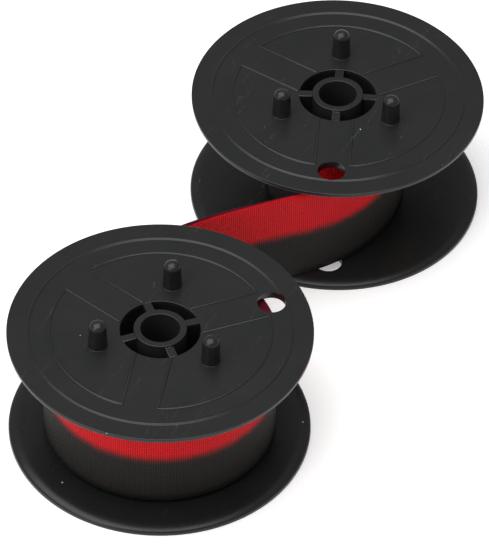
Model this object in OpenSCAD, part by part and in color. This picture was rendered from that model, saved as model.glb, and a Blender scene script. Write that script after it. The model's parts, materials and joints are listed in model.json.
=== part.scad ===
// Twin ribbon spool for a printing calculator: a full feed spool and a nearly
// empty take-up spool, joined by one woven ribbon inked red above and black below.
// Millimetres, +Z up. The origin is on the ground, midway between the two spool
// axes, and +X runs from the feed axis to the take-up axis.

/* [Ribbon] */
// Width of the woven ribbon
ribbon_w = 13; // [11:0.5:17]
// Width of the black-inked lower half
black_w = 6.5; // [5:0.1:8]
// Thickness of the woven ribbon
ribbon_t = 0.1; // [0.08:0.01:0.2]
// Depth of ribbon wound on the feed core
feed_wound = 7.3; // [3:0.1:9]
// Depth of ribbon wound on the take-up core
takeup_wound = 2.2; // [1.4:0.1:7]
// Space between the ribbon and the lower flange
gap_below = 0.65; // [0.1:0.05:1.5]
// Space between the ribbon and the upper flange
gap_above = 0.15; // [0.1:0.05:1.5]

/* [Flanges] */
// Diameter of the flanges
flange_d = 35; // [30:0.5:42]
// Thickness of a flange
flange_t = 0.9; // [0.7:0.1:1.2]
// Radius that rounds the inner face off at the rim
rim_round = 0.65; // [0.3:0.05:0.65]
// Depth of the sleeve that presses onto the end of the core
sleeve_depth = 1.5; // [0.8:0.1:3]
// Diameter of the sight hole through both flanges
sight_hole_d = 3.3; // [2.5:0.1:4]
// Distance from the rim to the centre of the sight hole
sight_hole_inset = 4; // [3:0.1:4.5]

/* [Core] */
// Outside diameter of the core, on which the ribbon is wound
core_d = 12; // [10:0.2:14.4]
// Thickness of the core's wall
core_wall = 1.4; // [1:0.1:1.6]
// Diameter of the bore that fits the machine's spindle
bore_d = 4.5; // [3.5:0.1:5.4]
// Thickness of the tube around the bore
tube_wall = 0.8; // [0.6:0.1:1]
// Height of the tube above the upper flange
tube_proud = 0.25; // [0.1:0.05:0.4]
// Thickness of the ribs between the tube and the core
rib_w = 1; // [0.8:0.1:1.4]
// Number of ribs
rib_count = 4; // [3:1:4]

/* [Drive pins] */
// Diameter of the circle that the pins stand on
pin_circle_d = 15; // [14:0.5:17]
// Diameter of a pin
pin_d = 2.2; // [1.8:0.1:2.6]
// Height of a pin above the flange
pin_h = 3.55; // [2.5:0.05:4.5]
// Number of pins, and of the channels between them
pin_count = 3; // [3:1:4]

/* [Beads on the upper flange] */
// Width of a bead at its foot
bead_w = 0.46; // [0.2:0.02:0.5]
// Height of a bead
bead_h = 0.12; // [0.05:0.01:0.2]
// Distance from the rim to the ring bead
ring_bead_inset = 2.45; // [2:0.05:3]
// Distance from the rim to the arc of a sector bead
sector_bead_inset = 4.85; // [4.2:0.05:5.5]
// Width of the channels between the sectors
channel_w = 4.1; // [3:0.1:5]

/* [End fittings] */
// Width of the clip that jams the ribbon's end in the core
clip_w = 1.2; // [0.8:0.1:2]
// Height of the clip
clip_h = 8; // [6:0.5:9]
// Outside diameter of the reversing eyelet
eyelet_d = 3.8; // [3:0.1:4.2]
// Diameter of the eyelet's hole
eyelet_hole_d = 2; // [1.5:0.1:2.4]
// Thickness of the eyelet
eyelet_t = 0.5; // [0.4:0.05:0.6]
// Depth of ribbon between the core and the eyelet
eyelet_depth = 0.2; // [0.15:0.05:0.3]

/* [Layout] */
// Space between the rims of the two spools
rim_gap = 10.4; // [6:0.1:20]
// Direction of the feed spool's sight hole
feed_turn = -42.7; // [-180:0.1:180]
// Direction of the take-up spool's sight hole
takeup_turn = -156.7; // [-180:0.1:180]

/* [Free ribbon] */
// Running clearance between a wound pack and the ribbon that leaves it
lap_gap = 0.15; // [0.1:0.01:0.3]
// Arc over which the free ribbon lies on a pack
lap_angle = 24; // [10:1:60]
// Direction in which the ribbon leaves the feed pack
leave_angle = 71.7; // [60:0.1:110]
// Direction in which the ribbon joins the take-up pack
join_angle = -70.2; // [-90:0.1:-40]
// Length of the straight stretch between the two slack bends
slack_run = 5; // [2:0.5:12]
// Radius of the bend beside the feed pack, over that of the bend beside the take-up pack
bend_ratio = 2.99; // [2:0.01:4]

/* [Hidden] */
$fn = 96;

plastic = [0.16, 0.165, 0.165];
red_ink = [0.76, 0.1, 0.13];
black_ink = [0.13, 0.125, 0.12];
brass = [0.8, 0.66, 0.36];

// How far one shape reaches into the next, and how far a cutter reaches past what it cuts
overlap = 0.01;
overshoot = 1;

// Heights
ribbon_z = flange_t + gap_below;
seam_z = ribbon_z + black_w;
ribbon_top = ribbon_z + ribbon_w;
spool_h = ribbon_top + gap_above + flange_t;

// Radii
flange_r = flange_d / 2;
core_r = core_d / 2;
well_r = core_r - core_wall;
spigot_r = core_r - core_wall / 2;
bore_r = bore_d / 2;
tube_r = bore_r + tube_wall;
ring_bead_r = flange_r - ring_bead_inset;
sector_bead_r = flange_r - sector_bead_inset;
sight_hole_r = flange_r - sight_hole_inset;
bead_top_w = 0.4 * bead_w;
feed_pack_r = core_r + feed_wound;
takeup_pack_r = core_r + takeup_wound;

// Places
axis_x = (flange_d + rim_gap) / 2;
pin_step = 360 / pin_count;
rib_step = 360 / rib_count;

// The free ribbon runs in plan along a lap on the feed pack, a slack bend, a
// straight, a slack bend the other way and a lap on the take-up pack. Each bend
// touches its pack from outside, and the straight touches both bends. So the
// distance between the bends' centres, squared, is the sum of their radii squared
// plus the straight's length squared. That gives the radius r beside the take-up
// pack as the positive root of square_term * r^2 + 2 * half_linear * r + constant = 0.
feed_lap_r = feed_pack_r + lap_gap + ribbon_t / 2;
takeup_lap_r = takeup_pack_r + lap_gap + ribbon_t / 2;
leave_at = [-axis_x, 0] + feed_lap_r * heading(leave_angle);
join_at = [axis_x, 0] + takeup_lap_r * heading(join_angle);
across = join_at - leave_at;
spread = bend_ratio * heading(leave_angle) - heading(join_angle);
square_term = spread * spread - pow(1 + bend_ratio, 2);
half_linear = across * spread;
constant = across * across - pow(slack_run, 2);
takeup_bend_r = constant / (sqrt(pow(half_linear, 2) - square_term * constant) - half_linear);
feed_bend_r = bend_ratio * takeup_bend_r;
feed_bend = leave_at - feed_bend_r * heading(leave_angle);
takeup_bend = join_at - takeup_bend_r * heading(join_angle);
bends = takeup_bend - feed_bend;
run_angle = atan2(bends.y, bends.x) - atan2(feed_bend_r + takeup_bend_r, slack_run);

function heading(a) = [cos(a), sin(a)];

// Points along an arc, a few degrees apart, from just after its start to its end
arc_step = 4;
function arc_steps(sweep) = max(2, ceil(abs(sweep) / arc_step));
function arc(centre, r, from, to) = [
    for (i = [1 : arc_steps(to - from)])
        centre + r * heading(from + (to - from) * i / arc_steps(to - from))
];

// One side of the free ribbon in plan, shifted to the left of its run by side
function span_side(side) = concat(
    [[-axis_x, 0] + (feed_lap_r + side) * heading(leave_angle + lap_angle)],
    arc([-axis_x, 0], feed_lap_r + side, leave_angle + lap_angle, leave_angle),
    arc(feed_bend, feed_bend_r + side, leave_angle, run_angle + 90),
    [takeup_bend + (takeup_bend_r - side) * heading(run_angle - 90)],
    arc(takeup_bend, takeup_bend_r - side, run_angle - 90, join_angle),
    arc([axis_x, 0], takeup_lap_r - side, join_angle, join_angle + lap_angle)
);

function reversed(points) = [for (i = [len(points) - 1 : -1 : 0]) points[i]];

module at_feed() translate([-axis_x, 0, 0]) rotate([0, 0, feed_turn]) children();
module at_takeup() translate([axis_x, 0, 0]) rotate([0, 0, takeup_turn]) children();

// Round parts

module tube(outer, inner, h) difference() {
    cylinder(r = outer, h = h);
    translate([0, 0, -overshoot]) cylinder(r = inner, h = h + 2 * overshoot);
}

// A disc lying on z = 0 with its inner face up, rounded off at the rim
module disc() rotate_extrude() {
    translate([well_r, 0]) square([flange_r - rim_round - well_r, flange_t]);
    translate([flange_r - rim_round - overlap, 0])
        square([rim_round + overlap, flange_t - rim_round]);
    intersection() {
        translate([flange_r - rim_round, flange_t - rim_round]) circle(r = rim_round);
        translate([flange_r - rim_round - overlap, flange_t - rim_round - overlap])
            square(2 * rim_round);
    }
}

module flange_blank() difference() {
    union() {
        disc();
        translate([0, 0, flange_t]) tube(core_r, spigot_r, sleeve_depth);
    }
    translate([sight_hole_r, 0, -overshoot])
        cylinder(d = sight_hole_d, h = flange_t + 2 * overshoot);
}

// Beads: low ridges with a flat top, drawn on z = 0

module bead_profile() polygon([
    [-bead_w / 2, -bead_h], [bead_w / 2, -bead_h],
    [bead_w / 2, 0], [bead_top_w / 2, bead_h], [-bead_top_w / 2, bead_h], [-bead_w / 2, 0]
]);

module bead_arc(r, from, sweep) rotate([0, 0, from])
    rotate_extrude(angle = sweep) translate([r, 0]) bead_profile();

module bead_line(from, to) translate([from, 0, 0]) rotate([90, 0, 90])
    linear_extrude(to - from) bead_profile();

// One sector's outline: an arc, and a straight bead along the channel on each side
module sector_beads() {
    half_w = channel_w / 2;
    edge = asin(half_w / sector_bead_r);
    arc_end = sqrt(pow(sector_bead_r, 2) - pow(half_w, 2));
    inner_end = sqrt(pow(well_r + bead_w, 2) - pow(min(half_w, well_r), 2));
    bead_arc(sector_bead_r, edge, pin_step - 2 * edge);
    translate([0, half_w, 0]) bead_line(inner_end, arc_end);
    rotate([0, 0, pin_step]) translate([0, -half_w, 0]) bead_line(inner_end, arc_end);
}

module beads() difference() {
    union() {
        rotate_extrude() translate([ring_bead_r, 0]) bead_profile();
        for (i = [0 : pin_count - 1]) rotate([0, 0, i * pin_step]) sector_beads();
    }
    translate([sight_hole_r, 0, -overshoot]) cylinder(d = sight_hole_d, h = 2 * overshoot);
}

module drive_pin() {
    straight = pin_h - pin_d / 2;
    translate([0, 0, -flange_t / 2]) cylinder(d = pin_d, h = straight + flange_t / 2);
    translate([0, 0, straight]) sphere(d = pin_d);
}

module upper_flange() color(plastic) translate([0, 0, spool_h]) {
    rotate([180, 0, 0]) flange_blank();
    beads();
    for (i = [0 : pin_count - 1]) rotate([0, 0, (i + 0.5) * pin_step])
        translate([pin_circle_d / 2, 0, 0]) drive_pin();
}

module lower_flange() color(plastic) flange_blank();

// Core: a barrel with a spigot at each end, ribs, and the tube around the bore

module end_slot() rotate([0, 0, rib_step / 2])
    translate([well_r - overshoot, -clip_w / 2, (spool_h - clip_h) / 2])
        cube([core_wall + 2 * overshoot, clip_w, clip_h]);

module core() color(plastic) {
    difference() {
        union() {
            translate([0, 0, flange_t]) tube(spigot_r, well_r, spool_h - 2 * flange_t);
            translate([0, 0, flange_t + sleeve_depth])
                tube(core_r, well_r, spool_h - 2 * (flange_t + sleeve_depth));
        }
        end_slot();
    }
    tube(tube_r, bore_r, spool_h + tube_proud);
    difference() {
        intersection() {
            cylinder(r = well_r, h = spool_h);
            for (i = [0 : rib_count - 1]) rotate([0, 0, i * rib_step])
                translate([0, -rib_w / 2, 0]) cube([core_r, rib_w, spool_h]);
        }
        translate([0, 0, -overshoot])
            cylinder(r = tube_r - tube_wall / 2, h = spool_h + 2 * overshoot);
    }
}

module end_clip() color(plastic) intersection() {
    end_slot();
    tube(core_r, well_r, spool_h);
}

// Reversing eyelet, flat against the ribbon halfway up its width

module at_eyelet() translate([core_r + eyelet_depth, 0, ribbon_z + ribbon_w / 2])
    rotate([0, 90, 0]) children();

module eyelet() color(brass) at_eyelet() tube(eyelet_d / 2, eyelet_hole_d / 2, eyelet_t);

// Wound ribbon between two heights, with the pocket that the eyelet lies in
module pack(pack_r, from_z, to_z) difference() {
    translate([0, 0, from_z]) tube(pack_r, core_r, to_z - from_z);
    at_eyelet() cylinder(d = eyelet_d, h = eyelet_t);
}

// Free ribbon between two heights

module span(from_z, to_z) translate([0, 0, from_z]) linear_extrude(to_z - from_z)
    polygon(concat(span_side(ribbon_t / 2), reversed(span_side(-ribbon_t / 2))));

module feed_upper_flange() at_feed() upper_flange();
module feed_lower_flange() at_feed() lower_flange();
module feed_core() at_feed() core();
module feed_end_clip() at_feed() end_clip();
module feed_eyelet() at_feed() eyelet();
module feed_pack_red() color(red_ink) at_feed() pack(feed_pack_r, seam_z, ribbon_top);
module feed_pack_black() color(black_ink) at_feed() pack(feed_pack_r, ribbon_z, seam_z);

module takeup_upper_flange() at_takeup() upper_flange();
module takeup_lower_flange() at_takeup() lower_flange();
module takeup_core() at_takeup() core();
module takeup_end_clip() at_takeup() end_clip();
module takeup_eyelet() at_takeup() eyelet();
module takeup_pack_red() color(red_ink) at_takeup() pack(takeup_pack_r, seam_z, ribbon_top);
module takeup_pack_black() color(black_ink) at_takeup() pack(takeup_pack_r, ribbon_z, seam_z);

module span_red() color(red_ink) span(seam_z, ribbon_top);
module span_black() color(black_ink) span(ribbon_z, seam_z);

feed_upper_flange();
feed_lower_flange();
feed_core();
feed_end_clip();
feed_eyelet();
feed_pack_red();
feed_pack_black();
takeup_upper_flange();
takeup_lower_flange();
takeup_core();
takeup_end_clip();
takeup_eyelet();
takeup_pack_red();
takeup_pack_black();
span_red();
span_black();
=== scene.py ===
import bisect
import json
import math
import bmesh
import bpy
from mathutils import Matrix, Vector, noise


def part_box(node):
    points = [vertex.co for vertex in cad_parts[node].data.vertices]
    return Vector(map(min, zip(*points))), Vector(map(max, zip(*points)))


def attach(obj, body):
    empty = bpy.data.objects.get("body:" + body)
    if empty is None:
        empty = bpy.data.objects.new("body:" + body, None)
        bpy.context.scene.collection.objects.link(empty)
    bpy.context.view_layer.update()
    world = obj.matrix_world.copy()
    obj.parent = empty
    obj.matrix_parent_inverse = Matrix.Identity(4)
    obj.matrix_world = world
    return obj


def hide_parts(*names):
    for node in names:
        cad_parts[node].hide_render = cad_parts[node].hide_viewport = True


# Twin ribbon spool: two black moulded spools and one woven ribbon, inked red above and black below.
# Meshes are shaped in millimetres and brought to metres when they are placed.

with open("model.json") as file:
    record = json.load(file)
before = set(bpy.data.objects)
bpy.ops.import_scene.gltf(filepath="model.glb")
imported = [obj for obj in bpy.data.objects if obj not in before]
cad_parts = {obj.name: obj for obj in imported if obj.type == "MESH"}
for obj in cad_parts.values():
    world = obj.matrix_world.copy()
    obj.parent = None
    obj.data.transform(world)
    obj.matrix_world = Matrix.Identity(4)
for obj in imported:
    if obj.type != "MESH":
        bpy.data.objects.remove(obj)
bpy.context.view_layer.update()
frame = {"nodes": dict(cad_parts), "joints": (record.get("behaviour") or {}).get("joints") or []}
mm = 0.001
print("frame loaded")


def axisOf(joint):
    return next(Vector(j["pos_m"][:2]) for j in frame["joints"] if j["name"] == joint)


def middleOf(node):
    low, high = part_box(node)
    return (low + high) / 2


def radiusOf(node):
    low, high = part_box(node)
    return (high.x - low.x) / 2 / mm


def turnOf(eyelet, axis):  # the eyelet lies in the direction of the sight hole
    away = middleOf(eyelet).xy - axis
    return math.atan2(away.y, away.x)


spools = {}
for side in ("feed", "takeup"):
    axis = axisOf(side + "_spin")
    spools[side] = {
        "body": side + "_spool",
        "axis": axis,
        "turn": turnOf(side + "_eyelet", axis),
        "packRadius": radiusOf(side + "_pack_red"),
    }
coreRadius = radiusOf("feed_core")
flangeRadius = radiusOf("feed_lower_flange")
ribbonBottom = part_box("span_black")[0].z / mm
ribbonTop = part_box("span_red")[1].z / mm
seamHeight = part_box("span_red")[0].z / mm


cameraSetup = {
    "lookAt": (-0.00343, -0.00101, 0.008),
    "distance": 0.56754,
    "heading": 26.28,  # degrees from +X, seen from above
    "elevation": 43.819,
    "roll": 1.27,
    "lens": 314.71,
    "sensor": 36,
}


def makeCamera(setup):
    heading, elevation = math.radians(setup["heading"]), math.radians(setup["elevation"])
    forward = Vector((math.cos(heading) * math.cos(elevation),
                      math.sin(heading) * math.cos(elevation), -math.sin(elevation)))
    camera = bpy.data.objects.new("camera", bpy.data.cameras.new("camera"))
    camera.data.lens = setup["lens"]
    camera.data.sensor_width = setup["sensor"]
    camera.data.clip_start = 0.01
    camera.data.dof.use_dof = False
    camera.matrix_world = (
        Matrix.Translation(Vector(setup["lookAt"]) - forward * setup["distance"])
        @ Matrix.Rotation(heading - math.pi / 2, 4, "Z")
        @ Matrix.Rotation(math.pi / 2 - elevation, 4, "X")
        @ Matrix.Rotation(math.radians(setup["roll"]), 4, "Z")
    )
    bpy.context.scene.collection.objects.link(camera)
    bpy.context.scene.camera = camera


makeCamera(cameraSetup)
print("camera set")


class Wire:
    # one output of a node, with the arithmetic that is used on it

    def __init__(self, board, socket):
        self.board, self.socket = board, socket

    def maths(self, operation, *values):
        return self.board.node("ShaderNodeMath", {"operation": operation}, dict(enumerate(values)))

    def __add__(self, other):
        return self.maths("ADD", self, other)

    def __radd__(self, other):
        return self.maths("ADD", other, self)

    def __sub__(self, other):
        return self.maths("SUBTRACT", self, other)

    def __rsub__(self, other):
        return self.maths("SUBTRACT", other, self)

    def __mul__(self, other):
        return self.maths("MULTIPLY", self, other)

    def __rmul__(self, other):
        return self.maths("MULTIPLY", other, self)

    def __lt__(self, other):
        return self.maths("LESS_THAN", self, other)

    def __gt__(self, other):
        return self.maths("GREATER_THAN", self, other)

    def __abs__(self):
        return self.maths("ABSOLUTE", self)

    def sine(self):
        return self.maths("SINE", self)


class Board:
    # a material's node tree, to which every node is added by one method

    def __init__(self, name):
        self.material = bpy.data.materials.new(name)
        self.material.use_nodes = True
        self.tree = self.material.node_tree
        self.tree.nodes.clear()

    def node(self, kind, settings=None, inputs=None, output=0):
        made = self.tree.nodes.new(kind)
        for key, value in (settings or {}).items():
            setattr(made, key, value)
        for key, value in (inputs or {}).items():
            if isinstance(value, Wire):
                self.tree.links.new(value.socket, made.inputs[key])
            else:
                made.inputs[key].default_value = value
        return Wire(self, made.outputs[output]) if made.outputs else None

    def noisy(self, vector, scale, detail, rough, output=0):
        return self.node("ShaderNodeTexNoise", {}, {
            "Vector": vector, "Scale": scale, "Detail": detail, "Roughness": rough}, output)

    def ramped(self, value, low, high):  # 0 up to low, 1 from high
        return self.node("ShaderNodeMapRange", {"interpolation_type": "SMOOTHSTEP"}, {
            "Value": value, "From Min": low, "From Max": high})

    def mixed(self, factor, first, second):
        return self.node("ShaderNodeMix", {"data_type": "RGBA"}, {0: factor, 6: first, 7: second}, 2)

    def finish(self, **inputs):
        named = {key.replace("_", " "): value for key, value in inputs.items()}
        surface = self.node("ShaderNodeBsdfPrincipled", {}, named)
        self.node("ShaderNodeOutputMaterial", {}, {"Surface": surface})
        return self.material


# a noise is its scale per unit of its vector, its detail and its roughness
plasticLook = {
    "colour": (0.0098, 0.0110, 0.0106, 1),
    "cloudColour": (0.0150, 0.0158, 0.0150, 1),  # slightly chalky patches where it has been handled
    "dustColour": (0.60, 0.60, 0.58, 1),
    "roughness": 0.21,
    "specular": 0.36,
    "cloud": (0.16, 5, 0.62),
    "grain": (7.0, 2, 0.55),  # the mould's texture
    "ripple": (0.45, 1, 0.5),
    "scratches": ((0.7, 0.68), (-0.5, 0.70), (2.1, 0.69)),  # each set's turn in its noise, and rarity
    "scratchStretch": (0.07, 0.9, 0.3),  # scale along a scratch, across it and down
    "scratchShift": 9.0,  # from one set's place in the noise to the next
    "scratchAside": 4.0,
    "scratchLine": (1.3, 2, 0.5),
    "scratchPatch": (0.9, 1, 0.5),
    "scratchWidth": 0.0016,  # of the noise's range
    "scratchCover": 0.10,
    "dustCell": 3.1,  # millimetres between possible specks
    "dustShare": 0.22,  # share of them that hold one
    "dustSize": 0.034,  # of a cell
    "dustOutline": (5.0, 2, 0.5),
    "dustWobble": 0.22,  # millimetres that its outline strays
    "dustCover": 0.8,
    "heights": {"grain": 0.006, "ripple": 0.03, "scratch": 0.01, "speck": 0.04},  # millimetres
    "bumpStrength": 0.9,
    "rougher": {"cloud": 0.10, "grain": 0.05, "speck": 0.3},
}
refraction = 1.45  # index of plastic and of inked nylon


def makePlastic(look):
    board = Board("blackPlastic")
    place = board.node("ShaderNodeTexCoord", output=3)
    inMm = board.node("ShaderNodeVectorMath", {"operation": "SCALE"}, {0: place, "Scale": 1 / mm})
    cloud = board.noisy(inMm, *look["cloud"])
    grain = board.noisy(inMm, *look["grain"])
    ripple = board.noisy(inMm, *look["ripple"])

    # hair scratches: thin level lines of a noise that is drawn out along X, kept in a few patches
    scratch = 0
    for i, (turn, rarity) in enumerate(look["scratches"]):
        drawn = board.node("ShaderNodeMapping", {}, {
            "Vector": inMm, "Location": (look["scratchShift"] * i, look["scratchAside"], 0),
            "Rotation": (0, 0, turn), "Scale": look["scratchStretch"]})
        patch = board.noisy(drawn, *look["scratchPatch"])
        line = abs(board.noisy(drawn, *look["scratchLine"]) - 0.5) < look["scratchWidth"]
        scratch = scratch + line * (patch > rarity)

    # dust: a few cells of a Voronoi pattern hold a speck at their seed
    wobble = board.node("ShaderNodeVectorMath", {"operation": "MULTIPLY_ADD"}, {
        0: board.noisy(inMm, *look["dustOutline"], "Color"), 1: (look["dustWobble"],) * 3, 2: inMm})
    cell = {"Vector": wobble, "Scale": 1 / look["dustCell"]}
    lot = board.node("ShaderNodeSeparateColor", {}, {
        0: board.node("ShaderNodeTexVoronoi", {}, cell, "Color")})
    speck = (board.node("ShaderNodeTexVoronoi", {}, cell) < look["dustSize"]) * (lot < look["dustShare"])

    tone = board.mixed(cloud, look["colour"], look["cloudColour"])
    marked = board.mixed(scratch * look["scratchCover"], tone, look["dustColour"])
    dusty = board.mixed(speck * look["dustCover"], marked, look["dustColour"])

    high, rougher = look["heights"], look["rougher"]
    height = (grain * high["grain"] + ripple * high["ripple"] - scratch * high["scratch"]
              + speck * high["speck"])
    bump = board.node("ShaderNodeBump", {}, {
        "Height": height, "Distance": mm, "Strength": look["bumpStrength"]})
    rough = (look["roughness"] + rougher["cloud"] * cloud + rougher["grain"] * grain
             + rougher["speck"] * speck)
    return board.finish(Base_Color=dusty, Roughness=rough, Normal=bump, IOR=refraction,
                        Specular_IOR_Level=look["specular"])


ribbonLook = {
    "red": (0.80, 0.0078, 0.0135, 1),
    # darker copies of each ink, for ink soaked in deeper and for painted shade in the weave's hollows
    "redSoakedAndShaded": (0.26, 0.0022, 0.0042, 1),
    "black": (0.0265, 0.0232, 0.0210, 1),
    "blackSoakedAndShaded": (0.0056, 0.0049, 0.0046, 1),
    "edge": (0.075, 0.003, 0.012, 1),  # painted shade along the ribbon's top edge, which the lamp would otherwise light
    "topEdgeShadeWidth": 0.15,
    "width": ribbonTop - ribbonBottom,
    "seamAt": seamHeight - ribbonBottom,
    "seamBlur": 2.1,  # millimetres over which the inks run into each other
    "warpPitch": 0.33,  # millimetres from one lengthwise thread to the next
    "weftPitch": 0.26,  # and from one crosswise thread to the next
    "warpShare": 0.3,  # how much the lengthwise threads show beside the crosswise ones
    "drift": (0.9, 2, 0.5),
    "driftReach": 0.06,  # millimetres that a thread strays
    "soak": (0.35, 4, 0.6),
    "soakReach": 0.4,  # millimetres that the seam strays with the soaking
    "bleed": (0.7, 3, 0.5),
    "bleedReach": 0.5,
    "soakAndShade": {"soak": 0.3, "hollow": 1.1},
    "heights": {"crossing": 0.35, "hollow": 0.65},  # shares of the depth
    "bumpDepth": 0.05,
    "bumpStrength": 0.8,
    "roughness": 0.60,
    "rougher": {"hollow": 0.15, "soak": 0.12},
    "specular": 0.14,
}


# the UV map named flat holds millimetres along and across the strip before it was wound
def makeRibbon(look):
    board = Board("wovenRibbon")
    flat = board.node("ShaderNodeUVMap", {"uv_map": "flat"})
    along = board.node("ShaderNodeSeparateXYZ", {}, {0: flat}, 0)
    across = board.node("ShaderNodeSeparateXYZ", {}, {0: flat}, 1)

    # plain weave: each thread goes over one and under the next, and it is deepest where four meet
    waver = (board.noisy(flat, *look["drift"]) - 0.5) * look["driftReach"]
    warp = ((across + waver) * (math.pi / look["warpPitch"])).sine()
    weft = ((along + waver) * (math.pi / look["weftPitch"])).sine()
    crossing = warp * weft
    hollow = 1 - abs(warp) * look["warpShare"] - abs(weft) * (1 - look["warpShare"])

    # ink: soaked unevenly, and bled a little along the seam; painted shade darkens the weave's hollows
    soak = board.noisy(flat, *look["soak"])
    bleed = board.noisy(flat, *look["bleed"])
    edge = across + (bleed - 0.5) * look["bleedReach"] + (soak - 0.5) * look["soakReach"]
    isRed = board.ramped(edge, look["seamAt"] - look["seamBlur"] / 2, look["seamAt"] + look["seamBlur"] / 2)
    # painted shade: the red darkens towards the top edge, to dull that edge where the lamp lights it
    topEdgeShade = board.ramped(across, look["width"] - look["topEdgeShadeWidth"], look["width"])
    # darker where the ink soaked in more (real tone), and painted shade in the weave's hollows
    depth = soak * look["soakAndShade"]["soak"] + hollow * look["soakAndShade"]["hollow"]
    redInk = board.mixed(topEdgeShade, board.mixed(depth, look["red"], look["redSoakedAndShaded"]), look["edge"])
    blackInk = board.mixed(depth, look["black"], look["blackSoakedAndShaded"])
    ink = board.mixed(isRed * isRed, blackInk, redInk)

    height = crossing * look["heights"]["crossing"] - hollow * look["heights"]["hollow"]
    bump = board.node("ShaderNodeBump", {}, {
        "Height": height, "Distance": look["bumpDepth"] * mm, "Strength": look["bumpStrength"]})
    rough = look["roughness"] + look["rougher"]["hollow"] * hollow - look["rougher"]["soak"] * soak
    return board.finish(Base_Color=ink, Roughness=rough, Normal=bump, IOR=refraction,
                        Specular_IOR_Level=look["specular"])


brassLook = {
    "colour": (0.72, 0.52, 0.24, 1),
    "tarnish": (0.34, 0.22, 0.10, 1),
    "stain": (900, 4, 0.5),
    "brushed": (5000, 2, 0.5),
    "bumpDepth": 0.02,
    "roughness": 0.25,
    "rougher": 0.25,  # where it is tarnished
}


def makeBrass(look):
    board = Board("eyeletBrass")
    place = board.node("ShaderNodeTexCoord", output=3)
    stain = board.noisy(place, *look["stain"])
    brushed = board.noisy(place, *look["brushed"])
    bump = board.node("ShaderNodeBump", {}, {"Height": brushed, "Distance": look["bumpDepth"] * mm})
    return board.finish(Base_Color=board.mixed(stain, look["colour"], look["tarnish"]),
                        Roughness=look["roughness"] + look["rougher"] * stain, Normal=bump, Metallic=1.0)


plastic = makePlastic(plasticLook)
wovenRibbon = makeRibbon(ribbonLook)
brass = makeBrass(brassLook)
print("materials made")


weld = 1e-4  # millimetres within which two vertices are one
upright = 0.9999  # the least Z of a level face's normal


def arcPoints(centre, radius, start, end, steps):
    turns = [math.radians(start + (end - start) * i / steps) for i in range(steps + 1)]
    return [(centre[0] + radius * math.cos(a), centre[1] + radius * math.sin(a)) for a in turns]


def spun(outline, steps):
    # a closed solid of revolution about Z from an outline of (radius, height) points
    bm = bmesh.new()
    corners = [bm.verts.new((r, 0, z)) for r, z in outline]
    sides = [bm.edges.new(pair) for pair in zip(corners, corners[1:])]
    if outline[0][0] > 0:
        sides.append(bm.edges.new((corners[-1], corners[0])))
    bmesh.ops.spin(bm, geom=corners + sides, cent=(0, 0, 0), axis=(0, 0, 1),
                   angle=2 * math.pi, steps=steps, use_merge=True)
    bmesh.ops.remove_doubles(bm, verts=bm.verts, dist=weld)
    bmesh.ops.recalc_face_normals(bm, faces=bm.faces)
    return bm


def rod(radius, low, high, steps):
    return spun([(0, low), (radius, low), (radius, high), (0, high)], steps)


def block(size, centre):
    bm = bmesh.new()
    bmesh.ops.create_cube(bm, size=1)
    bmesh.ops.scale(bm, vec=size, verts=bm.verts)
    bmesh.ops.translate(bm, vec=centre, verts=bm.verts)
    return bm


def turned(bm, angle, axis="Z"):
    bmesh.ops.rotate(bm, cent=(0, 0, 0), matrix=Matrix.Rotation(angle, 3, axis), verts=bm.verts)
    return bm


def moved(bm, place):
    bmesh.ops.translate(bm, vec=place, verts=bm.verts)
    return bm


def softened(bm, width, where, sharpest):
    # rounds over the sharp edges that a test picks by their middle
    edges = [
        e for e in bm.edges
        if len(e.link_faces) == 2 and e.calc_face_angle(0) > math.radians(sharpest)
        and where((e.verts[0].co + e.verts[1].co) / 2)
    ]
    bmesh.ops.bevel(bm, geom=edges, offset=width, affect="EDGES", segments=2,
                    profile=0.5, material=-1, clamp_overlap=True)
    return bm


def gathered(parts):
    # several meshes as one
    whole = bmesh.new()
    for part in parts:
        mesh = bpy.data.meshes.new("gathered")
        part.to_mesh(mesh)
        part.free()
        whole.from_mesh(mesh)
        bpy.data.meshes.remove(mesh)
    return whole


def combined(body, tool, operation):
    # body joined with, or cut by, tool
    temps = []
    for bm in (body, tool):
        mesh = bpy.data.meshes.new("temp")
        bm.to_mesh(mesh)
        bm.free()
        temps.append(bpy.data.objects.new("temp", mesh))
        bpy.context.scene.collection.objects.link(temps[-1])
    cut = temps[0].modifiers.new("cut", "BOOLEAN")
    cut.operation, cut.object, cut.solver = operation, temps[1], "EXACT"
    ready = temps[0].evaluated_get(bpy.context.evaluated_depsgraph_get())
    result = bpy.data.meshes.new_from_object(ready)
    out = bmesh.new()
    out.from_mesh(result)
    for obj in temps:
        mesh = obj.data
        bpy.data.objects.remove(obj)
        bpy.data.meshes.remove(mesh)
    bpy.data.meshes.remove(result)
    bmesh.ops.remove_doubles(out, verts=out.verts, dist=2 * weld)
    bmesh.ops.dissolve_degenerate(out, dist=2 * weld, edges=out.edges)
    return out


def ridge(points, radius):
    # a round bar along a row of points, closed at both ends
    curve = bpy.data.curves.new("ridge", "CURVE")
    curve.dimensions = "3D"
    curve.bevel_depth, curve.use_fill_caps = radius, True
    curve.bevel_resolution = 8  # fine, because only a bar's crest stands out and catches the light
    spline = curve.splines.new("POLY")
    spline.points.add(len(points) - 1)
    for point, place in zip(spline.points, points):
        point.co = (*place, 1)
    temp = bpy.data.objects.new("ridge", curve)
    mesh = bpy.data.meshes.new_from_object(temp)
    bm = bmesh.new()
    bm.from_mesh(mesh)
    bmesh.ops.remove_doubles(bm, verts=bm.verts, dist=weld)
    bmesh.ops.recalc_face_normals(bm, faces=bm.faces)
    bpy.data.objects.remove(temp)
    bpy.data.curves.remove(curve)
    bpy.data.meshes.remove(mesh)
    return bm


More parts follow.
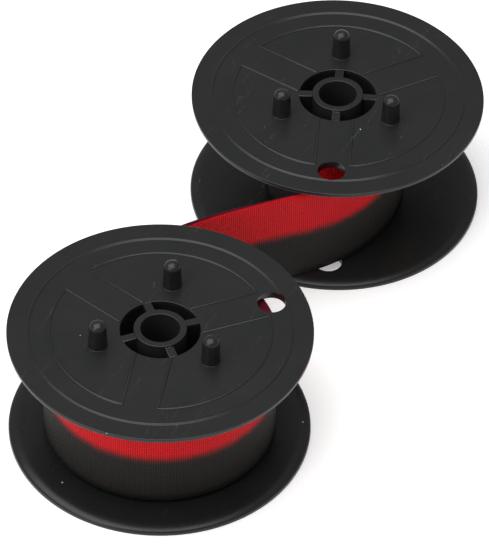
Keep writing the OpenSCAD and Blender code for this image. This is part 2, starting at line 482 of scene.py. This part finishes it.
def placedPiece(name, mesh, side, material, slot, *nodes):
    # a mesh in millimetres about its spool's axis becomes a piece at its place in the frame
    spool = spools[side]
    mesh.transform(Matrix.Translation((*spool["axis"], 0)) @ Matrix.Rotation(spool["turn"], 4, "Z")
                   @ Matrix.Scale(mm, 4))
    return finishedPiece(name, mesh, spool["body"], material, slot, *nodes)


def finishedPiece(name, mesh, body, material, slot, *nodes):
    mesh.materials.clear()
    mesh.materials.append(material)
    piece = bpy.data.objects.new(name, mesh)
    bpy.context.scene.collection.objects.link(piece)
    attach(piece, body)
    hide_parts(*nodes)
    return piece


def smoothMesh(bm, name, sharpest=32):  # level faces stay flat, so that the fillets don't shade them
    bm.normal_update()
    flat = [i for i, face in enumerate(bm.faces) if abs(face.normal.z) > upright]
    mesh = bpy.data.meshes.new(name)
    bm.to_mesh(mesh)
    bm.free()
    mesh.shade_smooth()
    mesh.set_sharp_from_angle(angle=math.radians(sharpest))
    for i in flat:
        mesh.polygons[i].use_smooth = False
    return mesh


flangeShape = {
    "thickness": 0.9,
    "rimRound": 0.3,  # the tight curve at the rim itself
    "rimReach": 1.3,  # how far in from the rim its inner face starts to fall away
    "rimSlope": 27,  # degrees, where the fall meets the tight curve
    "rimSteps": (6, 8),  # along the tight curve, and along the fall
    "edgeRound": 0.07,
    "sharpest": 38,  # degrees past which an edge is rounded
    "sleeveDepth": 1.5,
    "coreWall": 1.4,
    "tubeProud": 0.25,
    "holeRadius": 1.65,
    "holeInset": 4.0,
    "holeRound": 0.08,
    "holeSteps": 48,
    "holeCut": 3,  # how far its cutter reaches either way
    "ringInset": 2.45,  # from the rim in to the ring's bead
    "sectorInset": 4.85,  # and to the arcs of the sectors' beads
    "sectorSteps": 40,
    "beadWidth": 0.46,
    "beadHeight": 0.12,
    "beadSteps": 4,  # on each side of its crest
    "beadStart": 0.15,  # out from the core's well
    "channelWidth": 4.1,
    "steps": 216,  # around
}
pinShape = {
    "count": 3,
    "circle": 7.5,  # from the axis out to each pin
    "radius": 1.12,
    "shoulder": 2.75,  # height at which the taper ends and the round tip begins
    "tipRadius": 1.0,
    "tipSteps": 9,
    "height": 3.5,
    "fillet": 0.06,
    "root": 0.4,  # how far it goes down into the flange
    "steps": 40,
}
wellRadius = coreRadius - flangeShape["coreWall"]
spigotRadius = coreRadius - flangeShape["coreWall"] / 2
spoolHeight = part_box("feed_core")[1].z / mm - flangeShape["tubeProud"]
corner = 60  # degrees past which an edge is a corner, and not a step of a curve


def rimCurve(shape):
    # round the rim and then a slow rise to the level inner face
    tight, slope = shape["rimRound"], math.radians(shape["rimSlope"])
    run = shape["rimReach"] - tight * (1 - math.sin(slope))
    rise = run * math.tan(slope) / 2
    middle = rise + tight * math.cos(slope) - shape["thickness"]
    around, inward = shape["rimSteps"]
    turns = [math.radians(90 - (90 - shape["rimSlope"]) * i / around) for i in range(around + 1)]
    shares = [1 - i / inward for i in range(1, inward + 1)]
    return (
        [(flangeRadius - tight * (1 - math.sin(a)), middle - tight * math.cos(a)) for a in turns]
        + [(flangeRadius - shape["rimReach"] + run * u, rise * u * u - shape["thickness"]) for u in shares]
    )


def flangeOutline(shape, beaded):
    # half a section of a flange that lies on its inner face, outer face up at height 0
    thick, sleeve, ringAt = shape["thickness"], shape["sleeveDepth"], flangeRadius - shape["ringInset"]
    half, high, steps = shape["beadWidth"] / 2, shape["beadHeight"], shape["beadSteps"]
    bead = [(ringAt + half * i / steps, high * math.cos(math.pi * i / steps / 2) ** 2)
            for i in range(-steps, steps + 1)]
    return (
        [(wellRadius, 0)]
        + (bead if beaded else [])
        + [(flangeRadius, 0)]
        + rimCurve(shape)
        + [(coreRadius, -thick), (coreRadius, -thick - sleeve), (spigotRadius, -thick - sleeve),
           (spigotRadius, -thick), (wellRadius, -thick)]
    )


def sectorPath(shape, step):
    # the line around one sector: out along a channel, round the arc, and in along the next
    arcRadius, half = flangeRadius - shape["sectorInset"], shape["channelWidth"] / 2
    edge = math.degrees(math.asin(half / arcRadius))
    inner = math.sqrt((wellRadius + shape["beadStart"]) ** 2 - half ** 2)
    arc = arcPoints((0, 0), arcRadius, edge, math.degrees(step) - edge, shape["sectorSteps"])
    far = Matrix.Rotation(step, 2) @ Vector((inner, -half))
    return [(inner, half)] + arc + [tuple(far)]


def drivePin(shape):
    foot, tip, shoulder = shape["radius"] + shape["fillet"], shape["tipRadius"], shape["shoulder"]
    rise, steps = shape["height"] - shoulder, shape["tipSteps"]
    outline = (
        [(0, -shape["root"]), (foot, -shape["root"]), (foot, -0.01)]
        + arcPoints((foot, shape["fillet"]), shape["fillet"], 262, 182, 4)  # just off level and upright
        + [(tip * math.cos(a), shoulder + rise * math.sin(a))
           for a in (math.radians(90 * i / steps) for i in range(steps + 1))]
        + [(0, shape["height"])]
    )
    return spun(outline, shape["steps"])


def beadsAndPins(shape):
    # each sector's bead is the top of a round bar that is sunk in the flange
    barRadius = (shape["beadWidth"] ** 2 / 4 + shape["beadHeight"] ** 2) / (2 * shape["beadHeight"])
    lift = shape["beadHeight"] - barRadius
    step = 2 * math.pi / pinShape["count"]
    raised = []
    for i in range(pinShape["count"]):
        path = [(x, y, lift) for x, y in sectorPath(shape, step)]
        raised.append(turned(ridge(path, barRadius), i * step))
        raised.append(turned(moved(drivePin(pinShape), (pinShape["circle"], 0, 0)), (i + 0.5) * step))
    return gathered(raised)


def makeFlange(shape, beaded):
    bm = softened(spun(flangeOutline(shape, beaded), shape["steps"]), shape["edgeRound"],
                  lambda middle: not (beaded and middle.z > 0.001), shape["sharpest"])
    if beaded:
        bm = combined(bm, beadsAndPins(shape), "UNION")
    hole = Vector((flangeRadius - shape["holeInset"], 0, 0))
    cutter = rod(shape["holeRadius"], -shape["holeCut"], shape["holeCut"], shape["holeSteps"])
    bm = combined(bm, moved(cutter, hole), "DIFFERENCE")
    return softened(bm, shape["holeRound"],
                    lambda middle: abs((middle.xy - hole.xy).length - shape["holeRadius"]) < 0.03, corner)


upperMesh = smoothMesh(moved(makeFlange(flangeShape, True), (0, 0, spoolHeight)), "upperFlange")
lowerMesh = smoothMesh(turned(makeFlange(flangeShape, False), math.pi, "X"), "lowerFlange")
for side in spools:
    for level, mesh in (("upper", upperMesh), ("lower", lowerMesh)):
        placedPiece(f"{side}{level.title()}Flange", mesh.copy(), side, plastic,
                    "black_plastic", f"{side}_{level}_flange")
print("flanges made")


coreShape = {
    "boreRadius": 2.25,
    "boreCut": (-5, 30),  # the heights that its cutter reaches
    "tubeWall": 0.8,
    "ribWidth": 1.0,
    "ribBite": 0.03,  # how far a rib runs into the barrel
    "ribs": 4,
    "edgeRound": 0.09,
    "slot": (4, 1.2, 8),  # through the barrel, across it and up, where the ribbon's end is jammed
    "steps": 120,  # around the barrel
    "tubeSteps": 96,
}


def makeCore(shape):
    thick, sleeve = flangeShape["thickness"], flangeShape["sleeveDepth"]
    tubeRadius, top = shape["boreRadius"] + shape["tubeWall"], spoolHeight
    barrel = spun([
        (wellRadius, thick), (spigotRadius, thick), (spigotRadius, thick + sleeve),
        (coreRadius, thick + sleeve), (coreRadius, top - thick - sleeve),
        (spigotRadius, top - thick - sleeve), (spigotRadius, top - thick), (wellRadius, top - thick),
    ], shape["steps"])
    slot = block(shape["slot"], (coreRadius, 0, top / 2))
    barrel = combined(barrel, turned(slot, math.pi / shape["ribs"]), "DIFFERENCE")
    inner = rod(tubeRadius, 0, top + flangeShape["tubeProud"], shape["tubeSteps"])
    for i in range(shape["ribs"] // 2):
        bar = block((2 * (wellRadius + shape["ribBite"]), shape["ribWidth"], top), (0, 0, top / 2))
        inner = combined(inner, turned(bar, i * 2 * math.pi / shape["ribs"]), "UNION")
    inner = combined(inner, rod(shape["boreRadius"], *shape["boreCut"], shape["tubeSteps"]), "DIFFERENCE")
    inner = softened(inner, shape["edgeRound"], lambda m: m.z > top - 0.01 or m.z < 0.01, corner)
    return combined(barrel, inner, "UNION")


coreMesh = smoothMesh(makeCore(coreShape), "core")
for side in spools:
    placedPiece(side + "Core", coreMesh.copy(), side, plastic, "black_plastic", side + "_core")
print("cores made")


ribbonShape = {
    "width": ribbonTop - ribbonBottom,
    "thickness": 0.085,
    "pitch": 0.1,  # what one turn adds to a pack
    "coreGap": 0.05,  # from the core to the first turn
    "packProud": 0.12,  # how far past the pack's radius the last turn ends
    "stepsPerTurn": 72,
    "outerTurns": 1.1,  # the turns that show, in a piece of their own
    "outerFineness": 2.5,  # its steps for each step of the others
    "outerRows": 13,
    "innerRows": 2,
    "slips": ((0.16, 0.10, 0), (1.3, 0.02, 5)),  # of the edge up and down: pace, reach, lane of noise
    "leaveAngle": 71.7,
    "feedBend": 55,
    "joinAngle": -70.2,
    "takeupBend": 18.4,
    "lapAngle": 24,
    "lapGap": 0.2,  # from the pack to the middle of the ribbon that leaves it
    "lapEnd": 0.1,  # the same at the ribbon's cut end, where it lies down on the pack
    "arcSteps": 24,
    "freeSteps": 180,
    "freeRows": 13,
    "flutter": 0.10,  # millimetres sideways
    "flutterScale": (0.12, 0.08),  # along and across
    "lowSeam": 0.5,  # how much lower the inks meet beside the feed spool
    "lowSeamFrom": 9,  # millimetres from the cut end, where it is level with the pack's own seam
    "lowSeamEnd": (0.30, 0.25),  # share of the length after which it rises, and over which
}


def flatStrip(length, steps, rows, start=0, seamDrop=None):
    bm = bmesh.new()
    layer = bm.loops.layers.uv.new("flat")
    bmesh.ops.create_grid(bm, x_segments=steps, y_segments=rows, size=0.5)
    bmesh.ops.translate(bm, vec=(0.5, 0.5, 0), verts=bm.verts)
    bmesh.ops.scale(bm, vec=(length, ribbonShape["width"], 1), verts=bm.verts)
    for face in bm.faces:
        for loop in face.loops:
            along, across = loop.vert.co.xy
            drop = seamDrop(along) if seamDrop else 0
            loop[layer].uv = (start + along, across + drop)
    return bm


def ribbonPiece(name, bm, place, body, slot, *nodes):  # place(distance along, height) bends the strip
    for vert in bm.verts:
        vert.co = place(vert.co.x, vert.co.y)
    mesh = bpy.data.meshes.new(name)
    bm.to_mesh(mesh)
    bm.free()
    mesh.transform(Matrix.Scale(mm, 4))
    mesh.shade_smooth()
    piece = finishedPiece(name, mesh, body, wovenRibbon, slot, *nodes)
    solid = piece.modifiers.new("thickness", "SOLIDIFY")
    solid.thickness = ribbonShape["thickness"] * mm
    solid.offset = 0
    return piece


def spiralLength(inner, outer):
    return math.pi * (outer ** 2 - inner ** 2) / ribbonShape["pitch"]


# the outer turn, which is seen, is a piece of its own with finer steps
def windPack(side, endAngle, seed, shape):
    spool, pitch = spools[side], shape["pitch"]
    inner, outer = coreRadius + shape["coreGap"], spool["packRadius"] + shape["packProud"]
    total = (outer - inner) / pitch * 2 * math.pi
    centre = spool["axis"] / mm

    def placeFrom(start):
        def place(along, height):
            reach = math.sqrt(inner ** 2 + pitch * (start + along) / math.pi)
            angle = (reach - inner) * 2 * math.pi / pitch
            around = endAngle + total - angle
            slip = sum(noise.noise((angle * pace, seed, lane)) * far for pace, far, lane in shape["slips"])
            return Vector((centre.x + reach * math.cos(around), centre.y + reach * math.sin(around),
                           ribbonBottom + height + slip))
        return place

    whole = spiralLength(inner, outer)
    wound = spiralLength(inner, outer - shape["outerTurns"] * pitch)
    steps = shape["stepsPerTurn"]
    innerSteps = round((total / (2 * math.pi) - shape["outerTurns"]) * steps)
    outerSteps = round(shape["outerTurns"] * steps * shape["outerFineness"])
    stoodFor = (f"{side}_pack_red", f"{side}_pack_black")
    parts = (("Pack", 0, wound, innerSteps, shape["innerRows"], stoodFor),
             ("OuterTurn", wound, whole - wound, outerSteps, shape["outerRows"], ()))
    for part, start, length, count, rows, nodes in parts:
        piece = ribbonPiece(side + part, flatStrip(length, count, rows, start), placeFrom(start),
                            spool["body"], "black_ribbon", *nodes)
        length * mm
        side + ("Core" if part == "Pack" else "Pack")
    return whole


def toward(degrees):
    return Vector((math.cos(math.radians(degrees)), math.sin(math.radians(degrees))))


# the free ribbon in plan: lap, slack bend, straight, slack bend the other way, lap
def pathOfSpan(shape):
    feedAxis, takeupAxis = (spools[side]["axis"] / mm for side in ("feed", "takeup"))
    feedLap, takeupLap = (spools[side]["packRadius"] + shape["lapGap"] for side in ("feed", "takeup"))
    leave, join, lap = shape["leaveAngle"], shape["joinAngle"], shape["lapAngle"]
    feedBend = feedAxis + (feedLap - shape["feedBend"]) * toward(leave)
    takeupBend = takeupAxis + (takeupLap - shape["takeupBend"]) * toward(join)
    between = takeupBend - feedBend
    lean = math.asin((shape["feedBend"] + shape["takeupBend"]) / between.length)
    run = math.degrees(math.atan2(between.y, between.x) - lean)
    steps = shape["arcSteps"]
    points = []
    for centre, radius, start, end in (
        (feedAxis, feedLap, leave + lap, leave),
        (feedBend, shape["feedBend"], leave, run + 90),
        (takeupBend, shape["takeupBend"], run - 90, join),
        (takeupAxis, takeupLap, join, join + lap),
    ):
        arc = [Vector(p) for p in arcPoints(centre, radius, start, end, steps)]
        points += arc if not points or (arc[0] - points[-1]).length > 1e-3 else arc[1:]
    for i in range(steps):  # each lap closes on its pack towards the cut end
        closer = (shape["lapGap"] - shape["lapEnd"]) * (1 - i / steps)
        for at, axis in ((i, feedAxis), (-1 - i, takeupAxis)):
            points[at] -= (points[at] - axis).normalized() * closer
    return points


def runSpan(shape):
    points = pathOfSpan(shape)
    reached = [0]
    for first, second in zip(points, points[1:]):
        reached.append(reached[-1] + (second - first).length)
    length = reached[-1]
    paceAlong, paceAcross = shape["flutterScale"]
    levelTo, over = shape["lowSeamEnd"]

    def place(along, height):
        i = min(bisect.bisect_right(reached, along), len(points) - 1)
        share = (along - reached[i - 1]) / (reached[i] - reached[i - 1])
        sideways = (points[i] - points[i - 1]).orthogonal().normalized()
        free = math.sin(math.pi * along / length) ** 2  # nothing at the ends, most midway
        flutter = free * shape["flutter"] * noise.noise((along * paceAlong, height * paceAcross, 2.0))
        at = points[i - 1].lerp(points[i], share) + sideways * flutter
        return Vector((at.x, at.y, ribbonBottom + height))

    def seamDrop(along):
        fade = min(along / shape["lowSeamFrom"], 1)
        return shape["lowSeam"] * fade * (1 - min(max((along / length - levelTo) / over, 0), 1))

    strip = flatStrip(length, shape["freeSteps"], shape["freeRows"], 0, seamDrop)
    piece = ribbonPiece("freeRibbon", strip, place, "ribbon_span", "red_ribbon", "span_red", "span_black")
    return length


lengths = [
    windPack("feed", math.radians(ribbonShape["leaveAngle"]), 1.0, ribbonShape),
    runSpan(ribbonShape),
    windPack("takeup", math.radians(ribbonShape["joinAngle"]), 9.0, ribbonShape),
]
print("ribbon wound:", [round(x) for x in lengths], "mm,", round(sum(lengths)), "in all")

for side in spools:
    for node, material in ((side + "_eyelet", brass), (side + "_end_clip", plastic)):
        data = frame["nodes"][node].data
        data.materials.clear()
        data.materials.append(material)


studio = {
    "floorColour": (0.93, 0.93, 0.93, 1),
    "floorRoughness": 0.9,
    "floorGlow": 0.26,
    "floorSize": 3,
    "white": (1, 1, 1, 1),
    "world": 0.32,
    "lamps": {
        "overhead": {"from": (-0.10, 0.13, 0.93), "size": 1.0, "watts": 10.4},
        "fill": {"from": (-0.78, 0.26, 0.58), "size": 0.5, "watts": 2.4},
    },
}


def makeFloor(setup):
    bm = bmesh.new()
    bmesh.ops.create_grid(bm, x_segments=1, y_segments=1, size=setup["floorSize"])
    mesh = bpy.data.meshes.new("floor")
    bm.to_mesh(mesh)
    bm.free()
    board = Board("floorPaper")
    mesh.materials.append(board.finish(
        Base_Color=setup["floorColour"], Roughness=setup["floorRoughness"],
        Emission_Color=setup["white"], Emission_Strength=setup["floorGlow"]))
    floor = bpy.data.objects.new("floor", mesh)
    bpy.context.scene.collection.objects.link(floor)


def makeLights(setup):
    world = bpy.data.worlds.new("studio")
    world.use_nodes = True
    background = world.node_tree.nodes["Background"]
    background.inputs["Color"].default_value = setup["white"]
    background.inputs["Strength"].default_value = setup["world"]
    bpy.context.scene.world = world
    for name, lamp in setup["lamps"].items():
        light = bpy.data.lights.new(name, "AREA")
        light.size, light.energy = lamp["size"], lamp["watts"]
        obj = bpy.data.objects.new(name, light)
        obj.location = lamp["from"]
        obj.rotation_euler = Vector(lamp["from"]).to_track_quat("Z", "Y").to_euler()
        bpy.context.scene.collection.objects.link(obj)
    bpy.context.scene.view_settings.view_transform = "Standard"


makeFloor(studio)
makeLights(studio)
print("studio lit")

bpy.context.view_layer.update()
